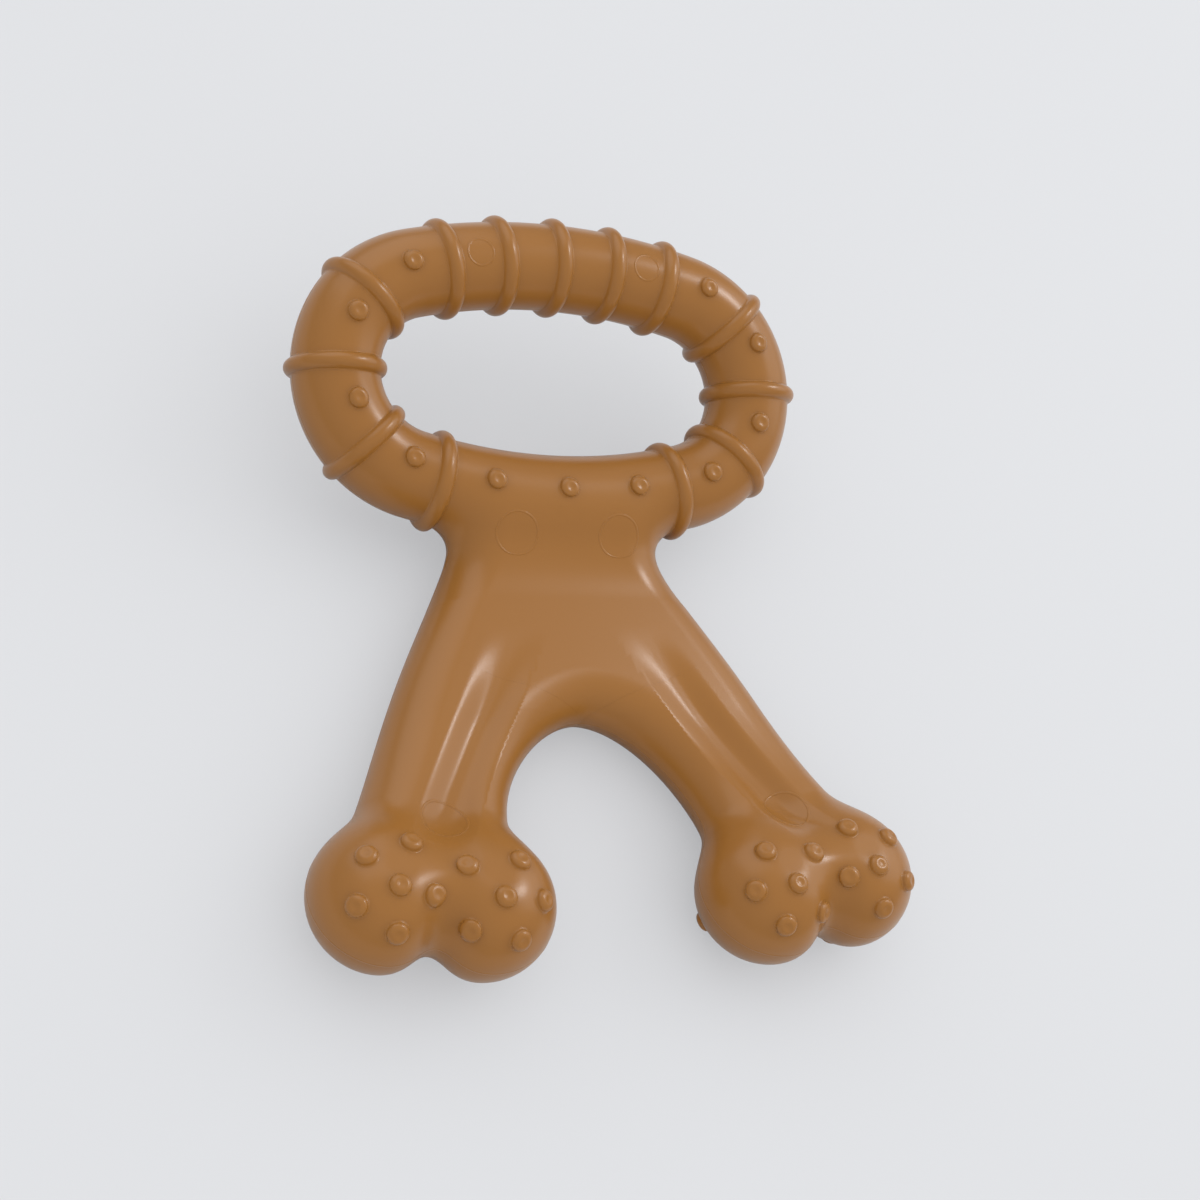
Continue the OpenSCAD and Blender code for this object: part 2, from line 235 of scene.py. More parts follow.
class Moulding:
    """The toy in its flat layout: x across, s along and h up from the mid surface, in millimetres.

    s is 0 at the middle of the ring's lower bar. skin() is below 0 inside the nylon, 0 on its surface
    and above 0 outside, and bend() carries flat points to the row frame, in metres."""

    def __init__(self, settings):
        for group in (settings.ring, settings.yoke, settings.knuckles, settings.bend):
            for name, prop in group.bl_rna.properties.items():
                if prop.type == "FLOAT":
                    value = getattr(group, name)
                    value = np.array(value) if prop.is_array else value
                    setattr(self, name, value / MM if prop.unit == "LENGTH" else value)
        self.end_x = self.half_w - self.end_r
        self.arc_r = (self.half_w**2 + self.half_h**2 - 2 * self.half_w * self.end_r) / (
            2 * (self.half_h - self.end_r)
        )
        self.arc_half = math.asin(self.end_x / (self.arc_r - self.end_r))
        self.bend_half = math.pi / 2 - self.arc_half
        self.lobe_flat = self.lobe_r - self.lobe_t
        self.arch_apex = self.arch_h - self.arch_foot
        self.rest_s = -self.neck_start - self.neck_r * self.ring_rise
        self.leg_rise = self.touching_rise()
        self.mid_y = 0.0
        top = self.bend(0.0, 2 * self.half_h, 0.0)[..., 1] / MM + self.bar_r + self.rib_h
        end = self.bend(0.0, self.inner_at[1], 0.0)[..., 1] / MM
        end = end - self.lobe_flat * math.cos(self.leg_rise) - self.lobe_t
        self.mid_y = float(top + end) / 2

    def touching_rise(self):
        """Slope of the legs at which the back nubs of the outer lobes touch the floor under the yoke."""
        height, normal = self.lobe_top(OUTER_BACK_NUBS)
        ball = FLOOR_NUB_H - FLOOR_NUB_R
        run = -self.leg_start - self.outer_at[1]
        rise = FIRST_RISE
        for _ in range(RISE_ROUNDS):
            drop = (OUTER_BACK_NUBS[:, 1] + normal[:, 1] * ball) * math.sin(rise)
            drop = drop + (height + normal[:, 2] * ball) * math.cos(rise) + FLOOR_NUB_R
            climb = drop.max() - self.web_t - self.leg_r * (1 - math.cos(rise))
            rise = (rise + math.asin(climb / (run - self.leg_r * rise))) / 2
        return rise

    def lobe_top(self, plan):
        """Height and outward normal of a lobe's front over plan places taken from its centre."""
        reach = np.hypot(plan[:, 0], plan[:, 1])
        over = np.maximum(reach - self.lobe_flat, 0)
        height = np.sqrt(self.lobe_t**2 - over**2)
        side = over / self.lobe_t / np.maximum(reach, SMALL)
        return height, np.stack([plan[:, 0] * side, plan[:, 1] * side, height / self.lobe_t], 1)

    def slopes(self, s):
        """Slope of the mid surface and its curvature at s: two arcs with a flat stretch between them."""
        up = np.clip((s - self.rest_s) / self.neck_r, 0, self.ring_rise)
        down = np.clip((-self.leg_start - s) / self.leg_r, 0, self.leg_rise)
        curve = np.where((up > 0) & (up < self.ring_rise), 1 / self.neck_r, 0)
        return up, down, curve + np.where((down > 0) & (down < self.leg_rise), 1 / self.leg_r, 0)

    def bend(self, x, s, h):
        """Row places of flat points: along the bent mid surface by s, then up its normal by h."""
        x, s, h = np.broadcast_arrays(np.asarray(x, float), np.asarray(s, float), np.asarray(h, float))
        up, down, _ = self.slopes(s)
        run_up = np.maximum(s - self.rest_s, 0) - self.neck_r * up
        run_down = np.maximum(-self.leg_start - s, 0) - self.leg_r * down
        y = np.clip(s, -self.leg_start, self.rest_s)
        y = y + self.neck_r * np.sin(up) + run_up * np.cos(up)
        y = y - self.leg_r * np.sin(down) - run_down * np.cos(down)
        z = self.web_t + self.neck_r * (1 - np.cos(up)) + run_up * np.sin(up)
        z = z + self.leg_r * (1 - np.cos(down)) + run_down * np.sin(down)
        tilt = up - down
        return np.stack([x, y - h * np.sin(tilt) - self.mid_y, z + h * np.cos(tilt)], -1) * MM

    def bend_normals(self, x, s, h):
        """Row normals of the skin: its gradient in the flat layout, turned with the mid surface."""
        e = GRADIENT_STEP
        across = self.skin(x + e, s, h) - self.skin(x - e, s, h)
        along = self.skin(x, s + e, h) - self.skin(x, s - e, h)
        out = self.skin(x, s, h + e) - self.skin(x, s, h - e)
        up, down, curve = self.slopes(s)
        along = along / (1 - h * curve)
        tilt = up - down
        normal = np.stack(
            [across, along * np.cos(tilt) - out * np.sin(tilt), along * np.sin(tilt) + out * np.cos(tilt)], -1
        )
        return normal / np.maximum(np.linalg.norm(normal, axis=-1, keepdims=True), TINY)

    def oval_offset(self, x, s):
        """How far outside the ring's centre line a place is: the line is two long arcs and two end bends."""
        px = np.abs(x)
        py = np.abs(s - self.half_h)
        on_bend = py * math.sin(self.arc_half) < (px - self.end_x) * math.cos(self.arc_half)
        bend = np.hypot(px - self.end_x, py) - self.end_r
        arc = np.hypot(px, py + self.arc_r - self.half_h) - self.arc_r
        return np.where(on_bend, bend, arc)

    def ring(self, x, s, h):
        """Distance from the ring's round bar."""
        return np.hypot(self.oval_offset(x, s), h) - self.bar_r

    def flank_at(self, s):
        """Half width of the yoke and legs at s: a straight neck, a spread and a slight bulge."""
        u = -s - self.flank_start
        spread = self.flank_slope * (u + np.sqrt(u * u + FLANK_SOFT**2)) / 2
        return self.neck_half_w + spread + self.flank_bulge * ramp(1 - np.abs(s - BULGE_AT) / BULGE_REACH)

    def flank_line(self, s):
        """Places on the right flank at s, across and along."""
        return np.stack([self.flank_at(s), s], -1)

    def arch_line(self, turn):
        """Places on the arch, across and along: a superellipse, by the angle on its circle."""
        way = circle(turn)
        curve = np.sign(way) * np.abs(way) ** (2 / self.arch_round)
        return curve * [self.arch_half_w, self.arch_h] - [0, self.arch_foot]

    def channel(self, x, s):
        """Depth of a leg's channel: a soft outer wall, and an inner wall whose lip is a little crisper."""
        offset = np.abs(x) - CHANNEL_AT[0] - CHANNEL_SLOPE * (CHANNEL_AT[1] - s)
        wall = np.clip((self.channel_lip - np.abs(offset)) / (self.channel_lip - self.channel_floor), 0, 1)
        crisp = (wall * (2 - wall) + ramp(wall)) / 2
        shape = np.where(offset < 0, crisp, ramp(wall))
        return self.channel_depth * shape * ramp((CHANNEL_FADE[0] - s) / (CHANNEL_FADE[0] - CHANNEL_FADE[1]))

    def slab(self, x, s, h):
        """Distance from the yoke and legs: a slab that thins as a quarter ellipse in each rim."""
        flank = (self.flank_at(s) - np.abs(x)) / math.hypot(1, self.flank_slope)
        u = np.abs(x) / self.arch_half_w
        v = np.maximum(s + self.arch_foot, 0) / self.arch_h
        p = self.arch_round
        q = (u**p + v**p) ** (1 / p)
        steep = np.hypot(u ** (p - 1) / self.arch_half_w, v ** (p - 1) / self.arch_h)
        arch = (q - 1) * q ** (p - 1) / np.maximum(steep, SMALL)
        gaps = (flank, arch, SLAB_TOP - s, s - SLAB_END)
        rim = sum(np.maximum(0, 1 - gap / self.rim_w) ** 2 for gap in gaps)
        half_t = self.web_t - self.channel(x, s)
        return self.web_t * (np.sqrt(rim + (h / half_t) ** 2) - 1)

    def lobe(self, x, s, h, at):
        """Distance from a lobe: a disc with a full round rim."""
        reach = np.hypot(np.abs(x) - at[0], s - at[1])
        return np.hypot(np.maximum(reach - self.lobe_flat, 0), h) - self.lobe_t + LOBE_ROOM

    def lobe_side(self, x, s):
        """How far a place lies on the outer lobe's side of the plane midway between a pair of lobes."""
        gap = self.outer_at - self.inner_at
        mid = (self.outer_at + self.inner_at) / 2
        return ((np.abs(x) - mid[0]) * gap[0] + (s - mid[1]) * gap[1]) / np.hypot(*gap)

    def knuckle(self, x, s, h):
        """Distance from a pair of lobes: a broad saddle on the faces and a tighter groove at the ends."""
        low = ramp((GROOVE_TOP - s) / GROOVE_REACH)
        reach = self.saddle - GROOVE_TIGHTER * low
        pair = soft_min(self.lobe(x, s, h, self.outer_at), self.lobe(x, s, h, self.inner_at), reach)
        return pair + self.cleft * np.exp(-((self.lobe_side(x, s) / CLEFT_W) ** 2)) * low

    def skin(self, x, s, h):
        """The whole moulding: the ring, the slab and the knuckles, blended where they meet."""
        upper = soft_min(self.ring(x, s, h), self.slab(x, s, h), self.ring_fillet)
        return soft_min(upper, self.knuckle(x, s, h), self.leg_fillet)


def crossing(distance, low, high, steps=44):
    """Where distance(t) rises through 0 between low and high, by halving the range for all points at once."""
    for _ in range(steps):
        middle = (low + high) / 2
        inside = distance(middle) < 0
        low = np.where(inside, middle, low)
        high = np.where(inside, high, middle)
    return (low + high) / 2


def grid_faces(rows, columns, closed_rows=False):
    """Quads of a grid whose columns close on themselves, and whose rows may too."""
    index = np.arange(rows * columns).reshape(rows, columns)
    after = np.roll(index, -1, 1)
    quads = np.stack([index, after, np.roll(after, -1, 0), np.roll(index, -1, 0)], -1)
    return quads[: rows if closed_rows else rows - 1].reshape(-1, 4)


def outward(points, faces):
    """The faces, all turned round if the volume that they close comes out negative."""
    volume = 0.0
    for group in faces:
        a = points[group[:, 0]]
        for i in range(1, group.shape[1] - 1):
            volume += np.einsum("ij,ij->i", a, np.cross(points[group[:, i]], points[group[:, i + 1]])).sum()
    return faces if volume > 0 else [group[:, ::-1] for group in faces]


def capped_grid(rows, columns):
    """Faces of a grid with closed columns, whose first and last rows end in the two hub points after it."""
    first = np.arange(columns)
    hub = rows * columns
    ends = ((first[::-1], hub), (first + hub - columns, hub + 1))
    caps = [np.stack([row, np.roll(row, -1), np.full_like(row, end)], -1) for row, end in ends]
    return [grid_faces(rows, columns), *caps]


def add_piece(name, points, faces, normals=None, nodes=()):
    """A finished piece of nylon: its mesh in place, smooth, with the skin's own normals if it lies on it."""
    mesh = bpy.data.meshes.new(name)
    polygons = [corners for group in faces for corners in group.tolist()]
    mesh.from_pydata(points, [], polygons)
    mesh.polygons.foreach_set("use_smooth", np.ones(len(polygons), bool))
    mesh.update()
    if normals is not None:
        mesh.normals_split_custom_set_from_vertices(normals)
    mesh.materials.append(bpy.data.materials[FINISH])
    piece = bpy.data.objects.new(name, mesh)
    bpy.context.scene.collection.objects.link(piece)
    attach(piece, BODY)
    if nodes:
        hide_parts(*nodes)


def add_skin(toy, name, flat, faces, node):
    """A piece of the moulding's skin from flat points, which stands for one solid of the part."""
    x, s, h = flat.T
    points = toy.bend(x, s, h)
    add_piece(name, points, outward(points, faces), toy.bend_normals(x, s, h), (node,))


def add_bead(toy, name, flat, nodes=()):
    """A bead carried along a closed path, from flat places with a row for each point of its outline."""
    points = toy.bend(*flat)
    quads = grid_faces(*points.shape[:2], closed_rows=True)
    points = points.reshape(-1, 3)
    add_piece(name, points, outward(points, [quads]), nodes=nodes)


# Grip ring: rows along a part, columns round the bar, and room for blends
BAR_ROWS = 90
BAR_COLUMNS = 96
BAR_MARGIN = 1.6


def centre_line(toy, part, t):
    """Places and outward directions on the ring's centre line for t from -1 to 1 along one of its parts."""
    if part.endswith("bend"):
        turn = t * toy.bend_half
        out = circle(turn)
        place_on = out * toy.end_r + [toy.end_x, toy.half_h]
    else:
        turn = t * toy.arc_half
        out = circle(turn)[..., ::-1]
        place_on = out * toy.arc_r + [0, 2 * toy.half_h - toy.arc_r]
    if part == "lower_bar":
        place_on = place_on * [1, -1] + [0, 2 * toy.half_h]
        out = out * [1, -1]
    if part == "left_bend":
        place_on = place_on * [-1, 1]
        out = out * [-1, 1]
    return place_on, out


def ring_part(toy, part):
    """Skin of one part of the ring: from each place on the centre line, in each direction round the bar,
    the distance at which the skin is crossed, and no more than the bar's radius and a margin."""
    around = full_turn(BAR_COLUMNS)[:, None]
    plan = centre_line(toy, part, np.linspace(-1, 1, BAR_ROWS))
    base, out = (np.pad(values, ((0, 0), (0, 1)))[:, None, :] for values in plan)
    ways = out * np.cos(around) + np.array([0, 0, 1]) * np.sin(around)

    def distance(r):
        p = base + ways * r[..., None]
        return toy.skin(*np.moveaxis(p, -1, 0))

    low = np.full(ways.shape[:2], toy.bar_r)
    r = crossing(distance, low, low + BAR_MARGIN)
    flat = np.concatenate([(base + ways * r[..., None]).reshape(-1, 3), base[0], base[-1]])
    add_skin(toy, f"ring_{part}_skin", flat, capped_grid(BAR_ROWS, BAR_COLUMNS), f"ring_{part}")


class CHEWTOY_OT_ring(bpy.types.Operator):
    """Builds the skin of the grip ring: two long bars and two end bends"""

    bl_idname = "chewtoy.ring"
    bl_label = "Grip Ring"

    def execute(self, context):
        toy = Moulding(context.scene.chew_toy)
        for part in ("top_bar", "lower_bar", "left_bend", "right_bend"):
            ring_part(toy, part)
        return {"FINISHED"}


# Yoke and legs: columns and reach of a section, rows, the yoke's ends, and room for blends
SECTION_COLUMNS = 200
SECTION_RUN = 1.6
YOKE_ROWS = 110
YOKE_TOP = SLAB_TOP - 0.5
APEX_GAP = 0.02
LEG_ROWS = 120
SLAB_MARGIN = 2.0
MAX_HALF_T = 14.0


def section_skin(toy, name, start, middle_at, finish, node):
    """Skin of a yoke or leg from its sections, each a line on the plan through start, middle and finish.

    Each line is cut to where the skin crosses the mid surface. Places on it follow a cosine, which crowds
    them in the rims, and the skin's height is found over each, above and below the mid surface."""

    def own(x, s, h):
        return np.maximum(toy.skin(x, s, h), toy.slab(x, s, h) - SLAB_MARGIN)

    def on_line(u):
        """Places at u from -1 (start) over 0 (middle) to 1 (finish), run on beyond the ends."""
        side = np.where((u < 0)[..., None], start, finish)
        return middle_at + (side - middle_at) * np.abs(u)[..., None]

    def flat_distance(u):
        p = on_line(u)
        return own(p[..., 0], p[..., 1], 0.0)

    rows = start.shape[0]
    none = np.zeros((rows, 1))
    first = -crossing(lambda u: flat_distance(-u), none, none + SECTION_RUN)
    last = crossing(flat_distance, none, none + SECTION_RUN)
    turn = full_turn(SECTION_COLUMNS)
    u = first + (last - first) * (1 - np.cos(turn)) / 2
    p = on_line(u)
    low = np.zeros(u.shape)
    h = crossing(lambda t: own(p[..., 0], p[..., 1], t), low, low + MAX_HALF_T)
    edge = np.abs(np.sin(turn)) < TINY
    h = np.where(edge, 0, h) * np.sign(np.sin(turn))
    flat = np.concatenate([p, h[..., None]], -1)
    hubs = flat[[0, -1]].mean(1)
    flat = np.concatenate([flat.reshape(-1, 3), hubs])
    add_skin(toy, name, flat, capped_grid(rows, SECTION_COLUMNS), node)


def yoke(toy):
    """Fan of V-shaped sections from the ring down to the arch: the middle of each follows a quarter sine,
    and its ends step evenly down the flanks."""
    t = np.linspace(0, 1, YOKE_ROWS)
    s_middle = YOKE_TOP + (toy.arch_apex + APEX_GAP - YOKE_TOP) * np.sin(t * math.pi / 2)
    flank = toy.flank_line(YOKE_TOP + (LEG_TOP - YOKE_TOP) * t)[:, None, :]
    middle_at = np.stack([0 * t, s_middle], -1)[:, None, :]
    section_skin(toy, "yoke_skin", flank * [-1, 1], middle_at, flank, "yoke")


def leg(toy, side):
    """Fan of straight sections from the arch to the flank, from the yoke down into the knuckle."""
    t = np.linspace(0, 1, LEG_ROWS)
    turn = math.pi / 2 + (ARCH_END_ANGLE - math.pi / 2) * t
    arch = toy.arch_line(turn)[:, None, :] * [side, 1]
    flank = toy.flank_line(LEG_TOP + (LEG_END - LEG_TOP) * t)[:, None, :] * [side, 1]
    name = "right_leg" if side > 0 else "left_leg"
    section_skin(toy, f"{name}_skin", arch, (arch + flank) / 2, flank, name)


class CHEWTOY_OT_yoke(bpy.types.Operator):
    """Builds the skin of the yoke and the two channelled legs"""

    bl_idname = "chewtoy.yoke"
    bl_label = "Yoke and Legs"

    def execute(self, context):
        toy = Moulding(context.scene.chew_toy)
        yoke(toy)
        for side in SIDES.values():
            leg(toy, side)
        return {"FINISHED"}


# Knuckle lobes: rows and columns, how far the skin may leave a lobe or dip into it, and the overlap
LOBE_ROWS = 120
LOBE_COLUMNS = 200
LOBE_MARGIN = 2.0
LOBE_DEPTH = 4.0
LOBE_OVERLAP = 0.6


def disc_reach(toy, rise, radius):
    """Distance from a lobe's centre to its surface grown to that rim radius, at each angle of rise."""
    rim = toy.lobe_flat * np.cos(rise) + np.sqrt(radius**2 - (toy.lobe_flat * np.sin(rise)) ** 2)
    face = radius / np.maximum(np.abs(np.sin(rise)), TINY)
    return np.where(rim * np.cos(rise) < toy.lobe_flat, face, rim)


def lobe(toy, name, at, side):
    """Skin of one lobe: from its centre, in each direction, the distance at which the skin is crossed,
    and no more than the lobe's own surface and a margin, or than a little past its pair's mid plane."""
    rise = np.linspace(-math.pi / 2, math.pi / 2, LOBE_ROWS + 2)[1:-1, None]
    turn = full_turn(LOBE_COLUMNS)[None, :]
    ways = np.stack(
        [np.cos(rise) * np.cos(turn) * side, np.cos(rise) * np.sin(turn), np.sin(rise) + 0 * turn], -1
    )
    poles = np.array([[0.0, 0, -1], [0, 0, 1]])
    ways = np.concatenate([ways.reshape(-1, 3), poles])
    rises = np.concatenate([np.repeat(rise[:, 0], LOBE_COLUMNS), [-math.pi / 2, math.pi / 2]])
    centre = np.array([at[0] * side, at[1], 0])
    own_side = np.sign(toy.lobe_side(*at))

    def distance(r):
        x, s, h = (centre + ways * r[:, None]).T
        return np.maximum(toy.skin(x, s, h), -LOBE_OVERLAP - own_side * toy.lobe_side(x, s))

    low = disc_reach(toy, rises, toy.lobe_t - LOBE_DEPTH)
    r = crossing(distance, low, disc_reach(toy, rises, toy.lobe_t + LOBE_MARGIN))
    flat = centre + ways * r[:, None]
    add_skin(toy, f"{name}_skin", flat, capped_grid(LOBE_ROWS, LOBE_COLUMNS), name)


class CHEWTOY_OT_lobes(bpy.types.Operator):
    """Builds the skin of the four knuckle lobes"""

    bl_idname = "chewtoy.lobes"
    bl_label = "Knuckle Lobes"

    def execute(self, context):
        toy = Moulding(context.scene.chew_toy)
        for word, side in SIDES.items():
            lobe(toy, f"{word}_outer_lobe", toy.outer_at, side)
            lobe(toy, f"{word}_inner_lobe", toy.inner_at, side)
        return {"FINISHED"}


# Grip ribs: numbers, columns, foot, how far off the bar's skin they are sought, and points of an outline
TOP_RIBS = 5
BEND_RIBS = 3
RIB_COLUMNS = 160
RIB_DEPTH = 0.6
RIB_FOOT = 0.1
RIB_SEARCH = 1.5
BEAD_POINTS = 25
TOE_POINTS = 7


def bead_profile(toy):
    """Closed outline of a rib, as offsets along the bar and heights over the skin: a round bead between
    two fillets that are tangent to it and to the skin, and a flat foot inside the nylon."""
    sunk = toy.rib_h - toy.rib_r
    toe_at = math.sqrt((toy.rib_r + toy.rib_toe) ** 2 - (toy.rib_toe - sunk) ** 2)
    meet = math.atan2(toe_at, toy.rib_toe - sunk)
    bead = np.linspace(-meet, meet, BEAD_POINTS)
    fillet = np.linspace(0, meet, TOE_POINTS)[:-1]
    toe_w = toe_at - toy.rib_toe * np.sin(fillet)
    toe_h = toy.rib_toe * (1 - np.cos(fillet))
    foot = toe_at + RIB_FOOT
    w = np.concatenate([-toe_w, toy.rib_r * np.sin(bead), toe_w[::-1], [foot, 0, -foot]])
    h = np.concatenate([toe_h, sunk + toy.rib_r * np.cos(bead), toe_h[::-1], [-RIB_DEPTH] * 3])
    return w, h


def rib(toy, name, part, t):
    """One rib: the bead's outline carried round the bar, at its heights over the skin."""
    middle, out = centre_line(toy, part, np.array([t]))
    middle, out = middle[0], out[0]
    w, height = bead_profile(toy)
    around = full_turn(RIB_COLUMNS)
    base = middle + np.outer(w, [-out[1], out[0]])

    def points(r):
        x = base[:, None, 0] + out[0] * np.cos(around) * r
        s = base[:, None, 1] + out[1] * np.cos(around) * r
        return x, s, np.sin(around) * r

    low = np.full((w.size, RIB_COLUMNS), toy.bar_r - RIB_SEARCH)
    r = crossing(lambda t: toy.skin(*points(t)) - height[:, None], low, low + 2 * RIB_SEARCH)
    add_bead(toy, f"{name}_bead", points(r), (name,))


class CHEWTOY_OT_ribs(bpy.types.Operator):
    """Builds the round grip ribs on the ring"""

    bl_idname = "chewtoy.ribs"
    bl_label = "Grip Ribs"

    def execute(self, context):
        toy = Moulding(context.scene.chew_toy)
        for i in range(TOP_RIBS):
            rib(toy, f"top_rib_{i + 1}", "top_bar", (i - TOP_RIBS // 2) * toy.top_rib_step / toy.arc_half)
        for word, side in SIDES.items():
            for i in range(BEND_RIBS):
                t = (BEND_RIBS // 2 - i) * toy.end_rib_angle / toy.bend_half
                rib(toy, f"{word}_rib_{i + 1}", f"{word}_bend", t)
            t = side * toy.yoke_rib_angle / toy.arc_half
            rib(toy, f"{word}_rib_{BEND_RIBS + 1}", "lower_bar", t)
        return {"FINISHED"}


# Nubs: columns, dome, foot, where the skin is sought, when an axis lies along the toy, and the dimple
NUB_COLUMNS = 40
DOME_POINTS = 18
NUB_SQUARENESS = 2.8
NUB_DEPTH = 0.5
NUB_SEARCH = (-3.0, 2.0)
MOSTLY_ALONG = 0.9
DIMPLE_R = 1.1
DIMPLE_DEPTH = 0.22


def nub_profile(toy):
    """Outline of a nub from its foot to its middle, as radii and heights: a fillet, then a dome whose radius
    and height follow a squarish superellipse, less a soft dimple in its top."""
    turn = np.linspace(0, math.pi / 2, TOE_POINTS)[:-1]
    toe_r = toy.nub_r + toy.nub_toe * (1 - np.sin(turn))
    toe_h = toy.nub_toe * (1 - np.cos(turn))
    up = np.linspace(0, math.pi / 2, DOME_POINTS)[:-1]
    power = 2 / NUB_SQUARENESS
    dome_r = toy.nub_r * np.cos(up) ** power
    dome_h = toy.nub_toe + (toy.nub_h - toy.nub_toe) * np.sin(up) ** power
    dome_h = dome_h - DIMPLE_DEPTH * np.maximum(1 - (dome_r / DIMPLE_R) ** 2, 0) ** 2
    foot = toy.nub_r + toy.nub_toe
    r = np.concatenate([[foot, foot], toe_r[1:], dome_r])
    h = np.concatenate([[-NUB_DEPTH, 0], toe_h[1:], dome_h])
    return r, h


def nubs(toy, name, centres, axes, nodes):
    """Nubs on the skin: the outline turned about each nub's axis, with its foot on the skin all round.

    Under a nub the skin is taken as a bowl, which falls from the middle by the square of the radius."""
    radius, height = nub_profile(toy)
    all_points = []
    all_faces = []
    start = 0
    for centre, axis in zip(np.array(centres, float), np.array(axes, float)):
        first = np.cross(axis, [0, 1, 0] if abs(axis[1]) < MOSTLY_ALONG else [1, 0, 0])
        first = first / np.linalg.norm(first)
        spoke = circle(full_turn(NUB_COLUMNS)) @ np.stack([first, np.cross(axis, first)])
        foot = np.concatenate([centre + radius[0] * spoke, [centre]])
        low, high = (np.full(len(foot), end) for end in NUB_SEARCH)
        lift = crossing(lambda t: toy.skin(*(foot + axis * t[:, None]).T), low, high)
        middle = lift[-1]
        left = min(1.0, 1 - middle / toy.nub_h)
        base = middle + (radius[:, None] / radius[0]) ** 2 * (lift[:-1] - middle)
        hub = middle + (toy.nub_h - DIMPLE_DEPTH) * left
        lift = np.append(base + height[:, None] * left, [middle - NUB_DEPTH, hub])
        plan = np.concatenate([(centre + radius[:, None, None] * spoke).reshape(-1, 3), [centre, centre]])
        points = toy.bend(*(plan + axis * lift[:, None]).T)
        for group in outward(points, capped_grid(radius.size, NUB_COLUMNS)):
            all_faces.append(group + start)
        all_points.append(points)
        start += len(points)
    add_piece(name, np.concatenate(all_points), all_faces, nodes=nodes)


def ring_nub_places(toy):
    """Plan places of the ring's nubs: four round each end bend and three on the lower bar."""
    on_bend = np.array([-toy.far_nub_angle, -toy.near_nub_angle, toy.near_nub_angle, toy.far_nub_angle])
    on_bend = on_bend / toy.bend_half
    on_bar = np.array([-1, 0, 1]) * toy.lower_nub_step / toy.arc_half
    parts = (("left_bend", on_bend), ("right_bend", on_bend), ("lower_bar", on_bar))
    return np.concatenate([centre_line(toy, part, t)[0] for part, t in parts]) + [0, toy.nub_lift]


def lobe_nub_places(toy, at, side, front, back):
    """Places and axes of one lobe's nubs, from their plan places on its front and its back."""
    centres = []
    axes = []
    for face, plan in ((1, front), (-1, back)):
        height, normal = toy.lobe_top(plan)
        centres.append(np.stack([(at[0] + plan[:, 0]) * side, at[1] + plan[:, 1], height * face], 1))
        axes.append(normal * [side, 1, face])
    return np.concatenate(centres), np.concatenate(axes)


class CHEWTOY_OT_nubs(bpy.types.Operator):
    """Builds the button nubs on the ring and on the lobes"""

    bl_idname = "chewtoy.nubs"
    bl_label = "Nubs"

    def execute(self, context):
        toy = Moulding(context.scene.chew_toy)
        on_ring = ring_nub_places(toy)
        for word, face in (("front", 1), ("back", -1)):
            centres = np.concatenate([on_ring, np.full((len(on_ring), 1), toy.bar_r * face)], 1)
            node = f"ring_{word}_nubs"
            nubs(toy, f"{node}_buttons", centres, [(0, 0, face)] * len(centres), (node,))
        lobes = {
            "outer": (toy.outer_at, OUTER_NUBS, OUTER_BACK_NUBS),
            "inner": (toy.inner_at, INNER_NUBS, INNER_BACK_NUBS),
        }
        for word, side in SIDES.items():
            for lobe_word, (at, front, back) in lobes.items():
                node = f"{word}_{lobe_word}_nubs"
                nubs(toy, f"{node}_buttons", *lobe_nub_places(toy, at, side, front, back), (node,))
        return {"FINISHED"}


# Fine ridges that the mould leaves: half width, depth of the foot and points across
RIDGE_W = 0.22
RIDGE_DEPTH = 0.2
RIDGE_POINTS = 7
# Ejector marks on the front: across, along and radius, and the height and columns of their ridge
MARKS = (("ring_mark", 16.8, 43.6, 2.5), ("yoke_mark", 10.2, -7.6, 4.0), ("leg_mark", 32.7, -67.4, 4.0))
MARK_H = 0.06
MARK_COLUMNS = 120


def ridge_profile(height):
    """Closed outline of a fine ridge, as offsets and heights over the skin: a parabola on a sunk foot."""
    w = np.linspace(-1, 1, RIDGE_POINTS)
    across = np.concatenate([w, [1, -1]]) * RIDGE_W
    return across, np.concatenate([height * (1 - w**2), [-RIDGE_DEPTH] * 2])


def mark(toy, name, x, s, radius):
    """The fine ridge round an ejector mark: a low bump carried round a circle on the front of the skin."""
    across, height = ridge_profile(MARK_H)
    turn = full_turn(MARK_COLUMNS)
    r = radius + across[:, None]
    px = x + r * np.cos(turn)
    ps = s + r * np.sin(turn)
    low = np.zeros(px.shape)
    h = crossing(lambda t: toy.skin(px, ps, t), low, low + MAX_HALF_T) + height[:, None]
    add_bead(toy, name, (px, ps, h))


# Parting line: height, how far inside the outline its rays start, how far they look for the skin, and
# stretches of rays by first and last angle or place, and number
PARTING_H = 0.03
PARTING_INSET = 5.0
PARTING_SEARCH = 22.0
TOP_RAYS = (0, 1, 60)
BEND_RAYS = (1, -1, 120)
LOW_RAYS = (1, 0.9, 12)
NOTCH_FROM = (14.0, 3.0)
NOTCH_RAYS = (-36, -64, 40)
FLANK_RAYS = (-14, -60, 120)
OUTER_RAYS = (85, -108, 110)
INNER_RAYS = (-64, -228, 110)
ARCH_RAYS = (0.12, math.pi / 2, 120)
SWEEP_RAYS = 40
HOLE_RAYS = 90


def fan(centre, rays):
    """Rays from one place, turned evenly between two angles in degrees."""
    out = circle(np.radians(np.linspace(*rays)))
    return 0 * out + centre, out


